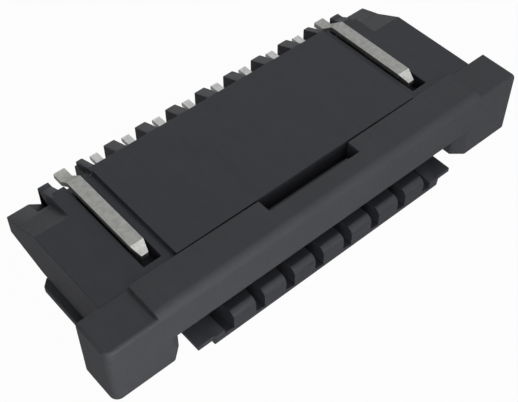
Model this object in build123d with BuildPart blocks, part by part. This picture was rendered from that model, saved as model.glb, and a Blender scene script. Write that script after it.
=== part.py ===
import os

from build123d import *

# Right-angle connector for a flat flexible cable: a housing with eight stamped
# contacts and two fitting nails, and a slider that clamps the cable. The cable
# goes in from the front (-Y). The origin is under the middle of the connector,
# on the underside of the lip. Lengths are in millimetres.

# Row of circuits; each reach below is measured outwards from its last one
circuits = 8
pitch = 1.0
row_half = pitch * (circuits - 1) / 2

# Levels of the housing
top_level = 2.45
side_drop = 0.13
ceiling_level = 1.70
cable_floor = 0.68
platform_level = 0.33
body_bottom = 0.18
slot_floor = 0.15

# Housing from front to rear
lip_front = -2.76
platform_setback = 0.03
seam = -1.49
cavity_rear = 1.45
rear_wall = 2.085
rear_line = 2.68

# Housing across
lip_reach = 0.475
platform_reach = 0.96
cavity_reach = 1.05
panel_reach = 0.48
core_reach = 1.60
wing_reach = 2.70
lip_round = 0.22

# Teeth along the rear edge
tooth_width = 0.346
tooth_drop = 0.25
tooth_foot = 0.75
tooth_root = 1.95
end_tooth_width = 0.20
end_step_width = 0.06
end_step_drop = 0.12

# Side wings with their ramps at the rear
wing_bottom = 0.84
wing_rear = 2.62
wing_rear_top = 1.77
wing_rear_bottom = 1.19
ramp_low = 1.96
ramp_low_rear = 1.96
ramp_start = 1.18
ledge_reach = 2.05
valley_front = 2.15
valley_level = 1.52
corner_tooth_inner_reach = 1.38
corner_tooth_outer_reach = 1.71
corner_tooth_level = 2.06
corner_tooth_flat = 0.20
corner_tooth_ramp = 0.72

# Slots for the fitting nails, in the low strips beside the raised panel
nail_slot_gap = 0.06
nail_slot_floor = 1.88
nail_slot_front = -1.23

# Stamped contacts
contact_thickness = 0.22
contact_slot_width = 0.291
foot_level = 2.13
foot_thickness = 0.15
leg_front = 2.20
leg_rear = 2.36
tail_top = 1.35
tail_bottom = 0.95
spine_front = 1.60
spine_rear = 2.00
upper_arm_thickness = 0.20
upper_arm_tip = -0.60
upper_arm_taper = 0.06
beam_root_level = 0.50
beam_lift = 0.12
beam_thickness = 0.20
beam_neck = -0.65
contact_point = -0.95
contact_rise = 0.13
beam_tip = -1.40
slot_top_gap = 0.04
slot_end_gap = 0.10
bend_round = 0.05

# Fitting nails
nail_reach = 0.996
nail_width = 0.39
nail_thickness = 0.15
nail_tab_width = 0.335
nail_rear = 2.76
nail_tab_front = 2.40
nail_strip_rear = 2.00
nail_shoulder = -0.62
nail_tip = -0.94
nail_tip_width = 0.20
nail_tip_drop = 0.15
nail_rail_width = 0.26
nail_rail_front = -0.45
nail_rail_rear = 1.85

# Slider
travel = 1.10
seam_gap = 0.04
bar_front = -2.67
bar_reach = 1.88
bar_bottom = 1.30
bar_round = 0.26
tongue_side_gap = 0.10
tongue_top_gap = 0.08
tongue_thickness = 0.56
tongue_tip = 0.95
tongue_nose = 0.35
tongue_nose_lift = 0.25
ear_reach = 3.34
ear_bottom = 0.385
ear_inner_reach = 1.28
ear_chamfer_across = 0.31
ear_chamfer_back = 0.27
left_corner_round = 0.22
right_corner_round = 0.14
ear_edge_round = 0.10
arm_reach = 2.85
arm_gap = 0.15
arm_height = 0.24
arm_rear = 1.22
arm_corner = 0.19
hook_length = 0.30
hook_reach = 0.26
hook_clearance = 0.03

# Recess in the rear of the slider's bar
recess_half = 1.50
recess_length = 0.31
recess_depth = 0.55
recess_ledge = 0.12
recess_ledge_depth = 0.12
recess_notch_width = 0.30

# Levels and places that follow from the sizes above
lip_half = row_half + lip_reach
platform_half = row_half + platform_reach
cavity_half = row_half + cavity_reach
panel_half = row_half + panel_reach
core_half = row_half + core_reach
wing_half = row_half + wing_reach
ledge_inner = row_half + ledge_reach
corner_tooth_inner = row_half + corner_tooth_inner_reach
corner_tooth_outer = row_half + corner_tooth_outer_reach
nail_place = row_half + nail_reach
bar_half = row_half + bar_reach
ear_half = row_half + ear_reach
ear_inner = row_half + ear_inner_reach
arm_outer = row_half + arm_reach
circuit_places = [(pitch * number - row_half, 0, 0) for number in range(circuits)]
end_tooth_inner = row_half + (pitch - tooth_width) / 2
end_tooth_outer = end_tooth_inner + end_tooth_width
end_platform_middle = (row_half + lip_half) / 2
side_level = top_level - side_drop
spine_top = ceiling_level + upper_arm_thickness + slot_top_gap
contact_slot_top = spine_top + slot_top_gap
nail_underside = top_level - nail_thickness
bar_rear = seam - seam_gap
tongue_half = cavity_half - tongue_side_gap
tongue_top = ceiling_level - tongue_top_gap
tongue_bottom = tongue_top - tongue_thickness
arm_inner = core_half + arm_gap
hook_inner = arm_inner - hook_reach
hook_front = arm_rear - hook_length

os.makedirs("parts", exist_ok=True)

# Space for one contact: a slot in the floor, through the rear wall and in the ceiling
with BuildPart() as contact_space:
    with BuildSketch(Plane.YZ):
        with BuildLine():
            Polyline(
                (lip_front, slot_floor),
                (rear_line, slot_floor),
                (rear_line, contact_slot_top),
                (upper_arm_tip - slot_end_gap, contact_slot_top),
                (upper_arm_tip - slot_end_gap, ceiling_level),
                (cavity_rear, ceiling_level),
                (cavity_rear, cable_floor),
                (lip_front, cable_floor),
                close=True,
            )
        make_face()
    extrude(amount=contact_slot_width / 2, both=True)

# Space around one solder foot, between two teeth
with BuildPart() as tail_notch:
    with BuildSketch(Plane.XY):
        with Locations((0, rear_wall)):
            Rectangle(pitch - tooth_width, rear_line, align=(Align.CENTER, Align.MIN))
    extrude(amount=top_level)

# Slot for a fitting nail, which lies on a rail in it
with BuildPart() as nail_slot:
    with BuildSketch(Plane.XY.offset(nail_slot_floor)):
        with Locations((0, nail_slot_front)):
            Rectangle(
                nail_width + 2 * nail_slot_gap,
                2 * rear_line,
                align=(Align.CENTER, Align.MIN),
            )
    extrude(amount=top_level - nail_slot_floor)
    with BuildSketch(Plane.XY.offset(nail_slot_floor)):
        with Locations((0, nail_rail_front)):
            Rectangle(
                nail_rail_width,
                nail_rail_rear - nail_rail_front,
                align=(Align.CENTER, Align.MIN),
            )
    extrude(amount=nail_underside - nail_slot_floor, mode=Mode.SUBTRACT)

# Pocket in the side of the core, where a hook of the slider runs
with BuildPart() as hook_pocket:
    with BuildSketch(Plane.XY):
        with Locations((hook_inner - hook_clearance, hook_front - travel - hook_clearance)):
            Rectangle(
                wing_half,
                travel + hook_length + 2 * hook_clearance,
                align=(Align.MIN, Align.MIN),
            )
    extrude(amount=wing_bottom)

# Right wing with its ramps, and the small tooth between it and the nail slot
with BuildPart() as wing:
    with BuildSketch(Plane.YZ):
        with BuildLine():
            Polyline(
                (seam, wing_bottom),
                (ramp_start, wing_bottom),
                (wing_rear, wing_rear_bottom),
                (wing_rear, wing_rear_top),
                (ramp_low_rear, ramp_low),
                (ramp_start, side_level),
                (seam, side_level),
                close=True,
            )
        make_face()
    extrude(amount=wing_half)
    with BuildSketch(Plane.XZ.offset(-valley_front)):
        with BuildLine():
            Polyline(
                (0, valley_level),
                (corner_tooth_outer, valley_level),
                (ledge_inner, wing_rear_top),
                (ledge_inner, top_level),
                (0, top_level),
                close=True,
            )
        make_face()
    extrude(amount=-rear_line, mode=Mode.SUBTRACT)
    with BuildSketch(Plane.YZ.offset(corner_tooth_inner)):
        with BuildLine():
            Polyline(
                (seam, wing_bottom),
                (ramp_start, wing_bottom),
                (rear_line, wing_rear_bottom),
                (rear_line, corner_tooth_level),
                (rear_line - corner_tooth_flat, corner_tooth_level),
                (rear_line - corner_tooth_ramp, side_level),
                (seam, side_level),
                close=True,
            )
        make_face()
    extrude(amount=corner_tooth_outer - corner_tooth_inner)

with BuildPart() as housing:
    # Core with the raised panel on it, and the wings
    with BuildSketch(Plane.XY.offset(body_bottom)):
        with Locations((0, seam)):
            Rectangle(2 * core_half, rear_wall - seam, align=(Align.CENTER, Align.MIN))
    extrude(amount=side_level - body_bottom)
    with BuildSketch(Plane.XY.offset(body_bottom)):
        with Locations((0, seam)):
            Rectangle(2 * panel_half, rear_wall - seam, align=(Align.CENTER, Align.MIN))
    extrude(amount=top_level - body_bottom)
    add(wing.part)
    mirror(wing.part, about=Plane.YZ)

    # Comb of teeth with tops that fall to the rear, and a lower step at each end
    for tooth_top, half_width in (
        (top_level, end_tooth_outer),
        (top_level - end_step_drop, end_tooth_outer + end_step_width),
    ):
        with BuildSketch(Plane.YZ):
            with BuildLine():
                Polyline(
                    (tooth_root, body_bottom),
                    (rear_wall, body_bottom),
                    (rear_line, tooth_foot),
                    (rear_line, tooth_top - tooth_drop),
                    (rear_wall, tooth_top),
                    (tooth_root, tooth_top),
                    close=True,
                )
            make_face()
        extrude(amount=half_width, both=True)

    # Lip under the slider, with a rounded nose, and the low platforms at its ends
    with BuildSketch(Plane.YZ) as lip_side:
        with Locations((lip_front, 0)):
            Rectangle(rear_wall - lip_front, cable_floor, align=(Align.MIN, Align.MIN))
        fillet(lip_side.vertices().group_by(Axis.X)[0].sort_by(Axis.Y)[-1], lip_round)
    extrude(amount=lip_half, both=True)
    with BuildSketch(Plane.XY.offset(platform_level)):
        with Locations((end_platform_middle, lip_front), (-end_platform_middle, lip_front)):
            Rectangle(lip_half - row_half, seam - lip_front, align=(Align.CENTER, Align.MIN))
    extrude(amount=top_level, mode=Mode.SUBTRACT)
    with BuildSketch(Plane.XY.offset(body_bottom)):
        with Locations((0, lip_front + platform_setback)):
            Rectangle(
                2 * platform_half,
                seam - lip_front - platform_setback,
                align=(Align.CENTER, Align.MIN),
            )
    extrude(amount=platform_level - body_bottom)

    # Cavity for the cable and the tongue, then the spaces for contacts, nails and hooks
    with BuildSketch(Plane.XY.offset(cable_floor)):
        with Locations((0, seam)):
            Rectangle(2 * cavity_half, cavity_rear - seam, align=(Align.CENTER, Align.MIN))
    extrude(amount=ceiling_level - cable_floor, mode=Mode.SUBTRACT)
    with Locations(*circuit_places):
        add(contact_space.part, mode=Mode.SUBTRACT)
        add(tail_notch.part, mode=Mode.SUBTRACT)
    with Locations((nail_place, 0, 0), (-nail_place, 0, 0)):
        add(nail_slot.part, mode=Mode.SUBTRACT)
    add(hook_pocket.part, mode=Mode.SUBTRACT)
    mirror(hook_pocket.part, about=Plane.YZ, mode=Mode.SUBTRACT)

housing.part.label = "housing"
export_step(housing.part, "parts/housing.step")

# Contact, stamped from sheet: solder foot, leg, tail, spine, upper arm and spring beam
with BuildPart() as contact:
    with BuildSketch(Plane.YZ):
        with BuildLine():
            FilletPolyline(
                (rear_line, foot_level),
                (leg_front, foot_level),
                (leg_front, tail_top),
                (spine_rear, tail_top),
                (spine_rear, spine_top),
                (upper_arm_tip, spine_top),
                (upper_arm_tip, spine_top - upper_arm_thickness + upper_arm_taper),
                (spine_front, spine_top - upper_arm_thickness),
                (spine_front, beam_root_level),
                (beam_neck, beam_root_level + beam_lift),
                (contact_point, beam_root_level + beam_lift + contact_rise),
                (beam_tip, beam_root_level),
                (beam_tip, beam_root_level - beam_thickness),
                (contact_point, beam_root_level + beam_lift + contact_rise - beam_thickness),
                (beam_neck, beam_root_level + beam_lift - beam_thickness),
                (spine_front, slot_floor),
                (spine_rear, slot_floor),
                (spine_rear, tail_bottom),
                (leg_rear, tail_bottom),
                (leg_rear, foot_level - foot_thickness),
                (rear_line, foot_level - foot_thickness),
                close=True,
                radius=bend_round,
            )
        make_face()
    extrude(amount=contact_thickness / 2, both=True)

for number, place in enumerate(circuit_places, start=1):
    with BuildPart(mode=Mode.PRIVATE) as placed_contact:
        with Locations(place):
            add(contact.part)
    placed_contact.part.label = f"contact_{number}"
    export_step(placed_contact.part, f"parts/contact_{number}.step")

# Fitting nail: a flat strip with a tapered tip bent down and a solder tab at the rear
with BuildPart() as nail:
    with BuildSketch(Plane.YZ):
        with BuildLine():
            Polyline(
                (nail_rear, foot_level),
                (nail_tab_front, foot_level),
                (nail_strip_rear, top_level),
                (nail_shoulder, top_level),
                (nail_tip, top_level - nail_tip_drop),
                (nail_tip, nail_underside - nail_tip_drop),
                (nail_shoulder, nail_underside),
                (nail_strip_rear, nail_underside),
                (nail_tab_front, foot_level - nail_thickness),
                (nail_rear, foot_level - nail_thickness),
                close=True,
            )
        make_face()
    extrude(amount=nail_width, both=True)
    with BuildSketch(Plane.XY):
        with BuildLine():
            Polyline(
                (nail_tip_width / 2, nail_tip),
                (nail_width / 2, nail_shoulder),
                (nail_width / 2, nail_strip_rear),
                (nail_tab_width / 2, nail_tab_front),
                (nail_tab_width / 2, nail_rear),
                (-nail_tab_width / 2, nail_rear),
                (-nail_tab_width / 2, nail_tab_front),
                (-nail_width / 2, nail_strip_rear),
                (-nail_width / 2, nail_shoulder),
                (-nail_tip_width / 2, nail_tip),
                close=True,
            )
        make_face()
    extrude(amount=top_level, mode=Mode.INTERSECT)

for side, place in (("left", -nail_place), ("right", nail_place)):
    with BuildPart(mode=Mode.PRIVATE) as placed_nail:
        with Locations((place, 0, 0)):
            add(nail.part)
    placed_nail.part.label = f"fitting_nail_{side}"
    export_step(placed_nail.part, f"parts/fitting_nail_{side}.step")

# Right arm of the slider, with its hook in the pocket of the housing
with BuildPart() as arm:
    with BuildSketch(Plane.XY.offset(ear_bottom)):
        with BuildLine():
            Polyline(
                (arm_outer, bar_rear),
                (arm_outer, arm_rear - arm_corner),
                (arm_outer - arm_corner, arm_rear),
                (arm_inner, arm_rear),
                (hook_inner, hook_front + hook_reach / 2),
                (hook_inner, hook_front),
                (arm_inner, hook_front),
                (arm_inner, bar_rear),
                close=True,
            )
        make_face()
    extrude(amount=arm_height)

# Ears of the slider, each with a slanted corner towards the cable and rounded outer edges
with BuildPart() as ears:
    for side, corner_round in ((-1, left_corner_round), (1, right_corner_round)):
        with BuildSketch(Plane.XY.offset(ear_bottom)) as ear_plan:
            with BuildLine():
                Polyline(
                    (side * ear_inner, bar_rear),
                    (side * ear_inner, bar_front + ear_chamfer_back),
                    (side * (ear_inner + ear_chamfer_across), bar_front),
                    (side * ear_half, bar_front),
                    (side * ear_half, bar_rear),
                    close=True,
                )
            make_face()
            front_corners = ear_plan.vertices().group_by(Axis.Y)[0]
            fillet(front_corners.sort_by(Axis((0, 0, 0), (side, 0, 0)))[-1], corner_round)
        extrude(amount=side_level - ear_bottom)
    top_edges = ears.edges().group_by(Axis.Z)[-1]
    front_edges = [edge for edge in top_edges if edge.center().Y < bar_rear - ear_edge_round]
    fillet([edge for edge in front_edges if abs(edge.center().X) > bar_half], ear_edge_round)

with BuildPart() as slider:
    # Front bar and the wedge tongue behind it
    with BuildSketch(Plane.YZ) as bar_side:
        with BuildLine():
            Polyline(
                (bar_front, bar_bottom),
                (bar_rear, bar_bottom),
                (bar_rear, top_level),
                (bar_front, top_level),
                close=True,
            )
        make_face()
        fillet(bar_side.vertices().group_by(Axis.X)[0].sort_by(Axis.Y)[-1], bar_round)
    extrude(amount=bar_half, both=True)
    with BuildSketch(Plane.YZ):
        with BuildLine():
            Polyline(
                (bar_front, bar_bottom),
                (bar_rear, tongue_bottom),
                (tongue_tip - tongue_nose, tongue_bottom),
                (tongue_tip, tongue_bottom + tongue_nose_lift),
                (tongue_tip, tongue_top),
                (bar_rear, tongue_top),
                (bar_front, tongue_top),
                close=True,
            )
        make_face()
    extrude(amount=tongue_half, both=True)

    add(ears.part)
    add(arm.part)
    mirror(arm.part, about=Plane.YZ)

    # Recess in the rear of the bar, with a ledge and a deeper notch at its right end
    with BuildSketch(Plane.XY.offset(top_level)):
        with Locations((0, bar_rear)):
            Rectangle(2 * recess_half, recess_length, align=(Align.CENTER, Align.MAX))
        with Locations((recess_half, bar_rear)):
            Rectangle(
                recess_notch_width,
                recess_length + recess_ledge,
                align=(Align.MAX, Align.MAX),
            )
    extrude(amount=-recess_depth, mode=Mode.SUBTRACT)
    with BuildSketch(Plane.XY.offset(top_level)):
        with Locations((0, bar_rear)):
            Rectangle(
                2 * recess_half,
                recess_length + recess_ledge,
                align=(Align.CENTER, Align.MAX),
            )
    extrude(amount=-recess_ledge_depth, mode=Mode.SUBTRACT)

slider.part.label = "actuator"
export_step(slider.part, "parts/actuator.step")
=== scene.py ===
import math

import bmesh
import bpy
from mathutils import Matrix, Vector


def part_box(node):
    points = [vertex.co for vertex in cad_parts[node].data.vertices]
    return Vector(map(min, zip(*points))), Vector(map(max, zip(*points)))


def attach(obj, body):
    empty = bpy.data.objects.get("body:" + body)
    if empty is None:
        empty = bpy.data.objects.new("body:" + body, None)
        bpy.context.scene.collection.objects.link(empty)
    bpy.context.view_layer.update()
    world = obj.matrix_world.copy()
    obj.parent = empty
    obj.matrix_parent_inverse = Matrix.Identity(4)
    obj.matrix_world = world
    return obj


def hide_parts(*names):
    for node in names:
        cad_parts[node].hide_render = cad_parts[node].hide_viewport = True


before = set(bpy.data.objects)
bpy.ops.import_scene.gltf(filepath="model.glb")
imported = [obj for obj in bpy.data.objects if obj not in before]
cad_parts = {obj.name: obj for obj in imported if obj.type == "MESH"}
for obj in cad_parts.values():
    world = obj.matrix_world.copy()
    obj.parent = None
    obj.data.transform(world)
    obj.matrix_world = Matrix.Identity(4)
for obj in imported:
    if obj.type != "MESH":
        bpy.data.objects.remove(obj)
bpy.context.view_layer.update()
mm = 0.001  # sizes are given in millimetres, and the scene is in metres

print("stage: camera, floor and lights")

plainWhite = (1.0, 1.0, 1.0, 1.0)

photoView = {
    "azimuth": 40.52,          # degrees, turned from looking along +Y towards +X
    "elevation": 49.62,        # degrees above the floor
    "roll": -0.37,             # degrees
    "position": (-11.777, -13.575, 21.057),
    "lens": 69.98,
    "sensor": 36.0,
    "nearest": 0.5,
    "furthest": 1000.0,
}


def addToScene(item):
    bpy.context.scene.collection.objects.link(item)
    return item


def aimed(direction, axis):
    return direction.to_track_quat(axis, "Y").to_matrix().to_4x4()


def addCamera(view):
    azimuth = math.radians(view["azimuth"])
    elevation = math.radians(view["elevation"])
    look = Vector((
        math.sin(azimuth) * math.cos(elevation),
        math.cos(azimuth) * math.cos(elevation),
        -math.sin(elevation),
    ))
    data = bpy.data.cameras.new("photoCamera")
    data.lens = view["lens"]
    data.sensor_width = view["sensor"]
    data.clip_start = view["nearest"] * mm
    data.clip_end = view["furthest"] * mm
    camera = addToScene(bpy.data.objects.new("photoCamera", data))
    place = Matrix.Translation(Vector(view["position"]) * mm)
    roll = Matrix.Rotation(math.radians(view["roll"]), 4, "Z")
    camera.matrix_world = place @ aimed(look, "-Z") @ roll
    bpy.context.scene.camera = camera


def calculated(nodes, links, operation, *values):
    step = nodes.new("ShaderNodeMath")
    step.operation = operation
    for socket, value in zip(step.inputs, values):
        if isinstance(value, bpy.types.NodeSocket):
            links.new(value, socket)
        else:
            socket.default_value = value
    return step.outputs[0]


# one for what the camera sees, a share for glossy and transmission rays, and nothing
# for the light that falls on the part
def seenAsBackground(nodes, links, mirroredShare):
    path = nodes.new("ShaderNodeLightPath").outputs
    through = calculated(nodes, links, "MAXIMUM", path["Is Glossy Ray"], path["Is Transmission Ray"])
    mirrored = calculated(nodes, links, "MULTIPLY", through, mirroredShare)
    return calculated(nodes, links, "MAXIMUM", path["Is Camera Ray"], mirrored)


def mixedSurface(nodes, links, share, first, second, outputKind):
    mix = nodes.new("ShaderNodeMixShader")
    links.new(share, mix.inputs["Fac"])
    links.new(first.outputs[0], mix.inputs[1])
    links.new(second.outputs[0], mix.inputs[2])
    links.new(mix.outputs[0], nodes.new(outputKind).inputs["Surface"])


floorSizes = {
    "halfWidth": 400.0,
    "colour": (0.45, 0.45, 0.45, 1.0),
    "glow": 0.97,              # share of plain white that the camera sees, the rest takes the shadow
    "mirroredShare": 0.2,      # share of it that gloss and metal show
}


def addFloor(sizes):
    half = sizes["halfWidth"] * mm
    mesh = bpy.data.meshes.new("studioFloor")
    corners = [(-half, -half, 0), (half, -half, 0), (half, half, 0), (-half, half, 0)]
    mesh.from_pydata(corners, [], [(0, 1, 2, 3)])
    floor = addToScene(bpy.data.objects.new("studioFloor", mesh))
    material = bpy.data.materials.new("paleFloor")
    material.use_nodes = True
    nodes = material.node_tree.nodes
    links = material.node_tree.links
    nodes.clear()
    matte = nodes.new("ShaderNodeBsdfDiffuse")
    matte.inputs["Color"].default_value = sizes["colour"]
    white = nodes.new("ShaderNodeEmission")
    white.inputs["Color"].default_value = plainWhite
    seen = seenAsBackground(nodes, links, sizes["mirroredShare"])
    share = calculated(nodes, links, "MULTIPLY", seen, sizes["glow"])
    mixedSurface(nodes, links, share, matte, white, "ShaderNodeOutputMaterial")
    mesh.materials.append(material)


studioLight = {
    "worldStrength": 0.09,     # what lights the part from all round
    "mirroredShare": 0.72,     # share of plain white that gloss and metal show
    "lamps": {                 # direction from the part, distance, width, power in watts
        "frontLamp": ((0.16, -0.93, 0.26), 60.0, 50.0, 0.0110),
        "cornerLamp": ((-0.50, -0.86, 0.06), 25.0, 14.0, 0.0062),
        "topLamp": ((0.40, -0.20, 0.90), 55.0, 34.0, 0.0080),
        "cameraLamp": ((-0.42, -0.66, 0.60), 60.0, 30.0, 0.0078),
        "rearLamp": ((0.30, 0.92, 0.22), 60.0, 44.0, 0.0042),
    },
}


def addWorldLight(nodes, strength):
    light = nodes.new("ShaderNodeBackground")
    light.inputs["Color"].default_value = plainWhite
    light.inputs["Strength"].default_value = strength
    return light


def addLamp(name, direction, distance, width, power):
    data = bpy.data.lights.new(name, "AREA")
    data.shape = "DISK"
    data.size = width * mm
    data.energy = power
    lamp = addToScene(bpy.data.objects.new(name, data))
    away = Vector(direction).normalized()
    lamp.matrix_world = Matrix.Translation(away * distance * mm) @ aimed(away, "Z")


def addLights(light):
    world = bpy.data.worlds.new("softStudio")
    world.use_nodes = True
    nodes = world.node_tree.nodes
    links = world.node_tree.links
    nodes.clear()
    soft = addWorldLight(nodes, light["worldStrength"])
    white = addWorldLight(nodes, 1.0)
    seen = seenAsBackground(nodes, links, light["mirroredShare"])
    mixedSurface(nodes, links, seen, soft, white, "ShaderNodeOutputWorld")
    bpy.context.scene.world = world
    for name, lamp in light["lamps"].items():
        addLamp(name, *lamp)


addCamera(photoView)
addFloor(floorSizes)
addLights(studioLight)
bpy.context.scene.view_settings.view_transform = "Standard"

print("stage: materials")


def startMaterial(name):
    material = bpy.data.materials.new(name)
    material.use_nodes = True
    nodes = material.node_tree.nodes
    shader = nodes["Principled BSDF"]
    coordinates = nodes.new("ShaderNodeTexCoord")
    return material, nodes, material.node_tree.links, shader, coordinates.outputs["Object"]


# "scale" counts the cells of the noise in a metre, one number or one for each axis
def noise(nodes, links, place, pattern):
    texture = nodes.new("ShaderNodeTexNoise")
    if isinstance(pattern["scale"], tuple):
        mapping = nodes.new("ShaderNodeMapping")
        mapping.inputs["Scale"].default_value = pattern["scale"]
        links.new(place, mapping.inputs["Vector"])
        place = mapping.outputs[0]
        texture.inputs["Scale"].default_value = 1.0
    else:
        texture.inputs["Scale"].default_value = pattern["scale"]
    texture.inputs["Detail"].default_value = pattern["detail"]
    texture.inputs["Roughness"].default_value = pattern["roughness"]
    links.new(place, texture.inputs["Vector"])
    return texture.outputs["Fac"]


noiseReach = (0.3, 0.7)  # most values of a noise texture lie between these


def ranged(nodes, links, value, low, high):
    spread = nodes.new("ShaderNodeMapRange")
    limits = {
        "From Min": noiseReach[0],
        "From Max": noiseReach[1],
        "To Min": low,
        "To Max": high,
    }
    for socketName, limit in limits.items():
        spread.inputs[socketName].default_value = limit
    links.new(value, spread.inputs["Value"])
    return spread.outputs["Result"]


def blended(nodes, links, share, dark, light):
    mix = nodes.new("ShaderNodeMix")
    mix.data_type = "RGBA"
    mix.inputs["A"].default_value = (*dark, 1.0)
    mix.inputs["B"].default_value = (*light, 1.0)
    links.new(share, mix.inputs["Factor"])
    return mix.outputs["Result"]


def bumped(nodes, links, shader, layers):
    normal = None
    for height, pattern in layers:
        bump = nodes.new("ShaderNodeBump")
        bump.inputs["Strength"].default_value = 1.0
        bump.inputs["Distance"].default_value = pattern["depth"] * mm
        links.new(height, bump.inputs["Height"])
        if normal is not None:
            links.new(normal, bump.inputs["Normal"])
        normal = bump.outputs["Normal"]
    links.new(normal, shader.inputs["Normal"])


plasticFinish = {
    "housing": {
        "dark": (0.0150, 0.0153, 0.0185),
        "light": (0.0225, 0.0229, 0.0275),
        "rough": (0.46, 0.60),
    },
    "slider": {
        "dark": (0.0275, 0.0279, 0.0310),
        "light": (0.0360, 0.0364, 0.0405),
        "rough": (0.60, 0.72),
    },
    # slow change of shade, about 1 mm
    "cloud": {"scale": 900.0, "detail": 4.0, "roughness": 0.55, "share": 0.55},
    # streaks about 0.2 mm wide and 1 mm long, from front to rear
    "fibre": {
        "scale": (5200.0, 900.0, 5200.0),
        "detail": 3.0,
        "roughness": 0.55,
        "share": 0.45,
        "depth": 0.0010,
    },
    # fine mould texture, about 0.04 mm
    "grain": {"scale": 26000.0, "detail": 2.0, "roughness": 0.55, "depth": 0.0016},
    "refraction": 1.5,
    "glossTint": (0.88, 0.925, 0.98, 1.0),
    "gloss": 0.4,
}


def makePlastic(name, finish, shared):
    material, nodes, links, shader, place = startMaterial(name)
    cloud = noise(nodes, links, place, shared["cloud"])
    fibre = noise(nodes, links, place, shared["fibre"])
    grain = noise(nodes, links, place, shared["grain"])
    cloudShare = ranged(nodes, links, cloud, 0.0, shared["cloud"]["share"])
    fibreShare = ranged(nodes, links, fibre, 0.0, shared["fibre"]["share"])
    share = calculated(nodes, links, "ADD", cloudShare, fibreShare)
    tint = blended(nodes, links, share, finish["dark"], finish["light"])
    links.new(tint, shader.inputs["Base Color"])
    links.new(ranged(nodes, links, grain, *finish["rough"]), shader.inputs["Roughness"])
    bumped(nodes, links, shader, ((grain, shared["grain"]), (fibre, shared["fibre"])))
    shader.inputs["IOR"].default_value = shared["refraction"]
    shader.inputs["Specular Tint"].default_value = shared["glossTint"]
    shader.inputs["Specular IOR Level"].default_value = shared["gloss"]
    return material


metalFinish = {
    "contact": {
        "dark": (0.48, 0.48, 0.48),
        "light": (0.66, 0.66, 0.65),
        "rough": (0.26, 0.40),
    },
    "nail": {
        "dark": (0.28, 0.28, 0.27),
        "light": (0.39, 0.39, 0.375),
        "rough": (0.38, 0.50),
    },
    # the plating's mottle, about 0.14 mm
    "mottle": {"scale": 7000.0, "detail": 5.0, "roughness": 0.6, "depth": 0.0012},
    # lines from rolling, from front to rear
    "rolled": {
        "scale": (30000.0, 1500.0, 30000.0),
        "detail": 2.0,
        "roughness": 0.55,
        "depth": 0.0007,
    },
}


def makeTinPlate(name, finish, shared):
    material, nodes, links, shader, place = startMaterial(name)
    mottle = noise(nodes, links, place, shared["mottle"])
    rolled = noise(nodes, links, place, shared["rolled"])
    share = ranged(nodes, links, mottle, 0.0, 1.0)
    tint = blended(nodes, links, share, finish["dark"], finish["light"])
    links.new(tint, shader.inputs["Base Color"])
    links.new(ranged(nodes, links, rolled, *finish["rough"]), shader.inputs["Roughness"])
    bumped(nodes, links, shader, ((rolled, shared["rolled"]), (mottle, shared["mottle"])))
    shader.inputs["Metallic"].default_value = 1.0
    return material


housingPlastic = makePlastic("housingPlastic", plasticFinish["housing"], plasticFinish)
sliderPlastic = makePlastic("sliderPlastic", plasticFinish["slider"], plasticFinish)
contactTin = makeTinPlate("contactTin", metalFinish["contact"], metalFinish)
nailTin = makeTinPlate("nailTin", metalFinish["nail"], metalFinish)

print("stage: housing, slider and nails")

edgeFinish = {
    # bevel width on each piece
    "widths": {
        "housing": 0.026,
        "actuator": 0.030,
        "contact_1": 0.014,
        "fitting_nail_left": 0.016,
        "fitting_nail_right": 0.016,
    },
    "segments": 2,
    "mergeDistance": 0.0004,
    # degrees: faces within "merge" become one, edges under "flat" are never bevelled,
    # and an edge over "round" can't belong to a rounding
    "angles": {"merge": 0.6, "flat": 8.0, "round": 40.0},
    "narrowWidth": 0.16,       # a face narrower than this is part of a rounding
    # the ears close on the wings: their rear faces, which lie between front and back
    # and outside earFrom, move back by earClosing, and the edges that meet there stay sharp
    "earClosing": 0.033,
    "earFrom": 5.37,
    "meeting": {"front": -1.54, "back": -1.48, "low": 2.25, "high": 2.40},
    # the long edges beside the raised panel stay sharp, for a crisp line
    "panelCorner": {"half": 3.98, "within": 0.005, "low": 2.25, "high": 2.50, "shortest": 1.0},
}


def closeEars(sheet, sizes):
    front = sizes["meeting"]["front"] * mm
    back = sizes["meeting"]["back"] * mm
    for vert in sheet.verts:
        if front < vert.co.y < back and abs(vert.co.x) > sizes["earFrom"] * mm:
            vert.co.y += sizes["earClosing"] * mm


def inHeights(edge, zone):
    return all(zone["low"] < vert.co.z / mm < zone["high"] for vert in edge.verts)


def onMeetingLine(edge, zone):
    between = all(zone["front"] < vert.co.y / mm < zone["back"] for vert in edge.verts)
    return between and inHeights(edge, zone)


def inPanelCorner(edge, zone):
    onSide = all(abs(abs(vert.co.x / mm) - zone["half"]) < zone["within"] for vert in edge.verts)
    return onSide and inHeights(edge, zone) and edge.calc_length() > zone["shortest"] * mm


def staysSharp(edge, sizes):
    return onMeetingLine(edge, sizes["meeting"]) or inPanelCorner(edge, sizes["panelCorner"])


def faceWidth(face):
    return face.calc_area() / max(edge.calc_length() for edge in face.edges)


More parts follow.
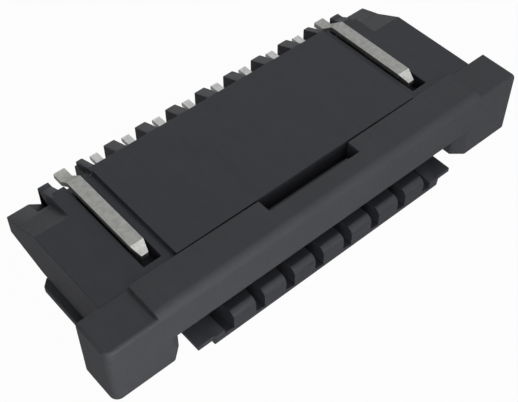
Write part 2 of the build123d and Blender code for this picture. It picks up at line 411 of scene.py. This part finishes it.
# a hard edge is bevelled, unless it meets a curve or has to stay sharp
def markHardEdges(sheet, sizes):
    angles = sizes["angles"]
    weight = sheet.edges.layers.float.new("bevel_weight_edge")
    narrow = {face for face in sheet.faces if faceWidth(face) < sizes["narrowWidth"] * mm}
    hard = set()
    curved = set()
    for edge in sheet.edges:
        if len(edge.link_faces) != 2:
            continue
        angle = math.degrees(edge.calc_face_angle())
        besideNarrow = any(face in narrow for face in edge.link_faces)
        if angle > angles["round"] or (angle > angles["flat"] and not besideNarrow):
            hard.add(edge)
        elif angle > angles["merge"]:
            curved.update(edge.verts)
    for face in sheet.faces:
        face.smooth = True
    for edge in hard:
        meetsCurve = any(vert in curved for vert in edge.verts)
        if meetsCurve or staysSharp(edge, sizes):
            edge.smooth = False
        else:
            edge[weight] = 1.0


# a node's mesh is loose triangles, so its copy is merged before its edges are marked
def mergedCopy(node, sizes):
    mesh = node.data.copy()
    sheet = bmesh.new()
    sheet.from_mesh(mesh)
    bmesh.ops.remove_doubles(sheet, verts=sheet.verts, dist=sizes["mergeDistance"] * mm)
    bmesh.ops.dissolve_limit(
        sheet,
        angle_limit=math.radians(sizes["angles"]["merge"]),
        use_dissolve_boundaries=False,
        verts=sheet.verts,
        edges=sheet.edges,
        delimit=set(),
    )
    if node.name == "actuator":
        closeEars(sheet, sizes)
    markHardEdges(sheet, sizes)
    sheet.to_mesh(mesh)
    sheet.free()
    mesh.materials.clear()
    return mesh


def finishedMesh(piece):
    bpy.context.view_layer.update()
    graph = bpy.context.evaluated_depsgraph_get()
    return bpy.data.meshes.new_from_object(piece.evaluated_get(graph))


def keepSharp(mesh, degrees):
    sheet = bmesh.new()
    sheet.from_mesh(mesh)
    for edge in sheet.edges:
        if len(edge.link_faces) == 2 and edge.calc_face_angle() > math.radians(degrees):
            edge.smooth = False
    sheet.to_mesh(mesh)
    sheet.free()


def roundedMesh(node, name, sizes):
    piece = addToScene(bpy.data.objects.new(name, mergedCopy(node, sizes)))
    bevel = piece.modifiers.new("moulded edges", "BEVEL")
    bevel.width = sizes["widths"][node.name] * mm
    bevel.segments = sizes["segments"]
    bevel.limit_method = "WEIGHT"
    bevel.use_clamp_overlap = False
    bevelled = finishedMesh(piece)
    piece.modifiers.remove(bevel)
    piece.data = bevelled
    keepSharp(bevelled, sizes["angles"]["round"])
    weighted = piece.modifiers.new("flat faces stay flat", "WEIGHTED_NORMAL")
    weighted.keep_sharp = True
    shaped = finishedMesh(piece)
    bpy.data.objects.remove(piece)
    shaped.name = name
    return shaped


def addRounded(nodeName, name, body, material):
    mesh = roundedMesh(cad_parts[nodeName], name, edgeFinish)
    mesh.materials.append(material)
    piece = addToScene(bpy.data.objects.new(name, mesh))
    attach(piece, body)
    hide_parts(nodeName)
    return piece


housing = addRounded("housing", "mouldedHousing", "connector_body", housingPlastic)
slider = addRounded("actuator", "mouldedSlider", "slider_body", sliderPlastic)
leftNail = addRounded("fitting_nail_left", "leftNail", "connector_body", nailTin)
rightNail = addRounded("fitting_nail_right", "rightNail", "connector_body", nailTin)

print("stage: contact row")

circuits = 8
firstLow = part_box("contact_1")[0]
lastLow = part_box("contact_8")[0]
contactRowSizes = {
    "circuits": circuits,
    "pitch": (lastLow[0] - firstLow[0]) / (circuits - 1),
}


def rowTree():
    tree = bpy.data.node_groups.new("contactRow", "GeometryNodeTree")
    kinds = {
        "Contact": "NodeSocketObject",
        "Circuits": "NodeSocketInt",
        "Pitch": "NodeSocketFloat",
        "Finish": "NodeSocketMaterial",
    }
    sockets = {}
    for name, kind in kinds.items():
        sockets[name] = tree.interface.new_socket(name=name, in_out="INPUT", socket_type=kind)
    tree.interface.new_socket(name="Row", in_out="OUTPUT", socket_type="NodeSocketGeometry")
    nodes = tree.nodes
    links = tree.links
    given = nodes.new("NodeGroupInput")
    made = nodes.new("NodeGroupOutput")
    step = nodes.new("ShaderNodeCombineXYZ")
    places = nodes.new("GeometryNodeMeshLine")
    stamped = nodes.new("GeometryNodeObjectInfo")
    placed = nodes.new("GeometryNodeInstanceOnPoints")
    solid = nodes.new("GeometryNodeRealizeInstances")
    plated = nodes.new("GeometryNodeSetMaterial")
    links.new(given.outputs["Pitch"], step.inputs["X"])
    links.new(given.outputs["Circuits"], places.inputs["Count"])
    links.new(step.outputs[0], places.inputs["Offset"])
    links.new(given.outputs["Contact"], stamped.inputs["Object"])
    links.new(places.outputs["Mesh"], placed.inputs["Points"])
    links.new(stamped.outputs["Geometry"], placed.inputs["Instance"])
    links.new(placed.outputs[0], solid.inputs[0])
    links.new(solid.outputs[0], plated.inputs["Geometry"])
    links.new(given.outputs["Finish"], plated.inputs["Material"])
    links.new(plated.outputs[0], made.inputs[0])
    return tree, sockets


def addContactRow(sizes):
    contactMesh = roundedMesh(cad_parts["contact_1"], "oneContact", edgeFinish)
    source = addToScene(bpy.data.objects.new("oneContact", contactMesh))
    holder = addToScene(bpy.data.objects.new("rowHolder", bpy.data.meshes.new("rowHolder")))
    tree, sockets = rowTree()
    modifier = holder.modifiers.new("row of contacts", "NODES")
    modifier.node_group = tree
    given = {
        "Contact": source,
        "Circuits": sizes["circuits"],
        "Pitch": sizes["pitch"],
        "Finish": contactTin,
    }
    for name, value in given.items():
        modifier[sockets[name].identifier] = value
    mesh = finishedMesh(holder)
    holder.modifiers.remove(modifier)
    bpy.data.objects.remove(holder)
    bpy.data.objects.remove(source)
    mesh.name = "contactRow"
    row = addToScene(bpy.data.objects.new("contactRow", mesh))
    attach(row, "connector_body")
    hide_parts(*[f"contact_{number}" for number in range(1, sizes["circuits"] + 1)])
    return row


contactRow = addContactRow(contactRowSizes)
for piece in (housing, slider, leftNail, rightNail, contactRow):
    print(piece.name, len(piece.data.polygons), [round(side / mm, 3) for side in piece.dimensions])
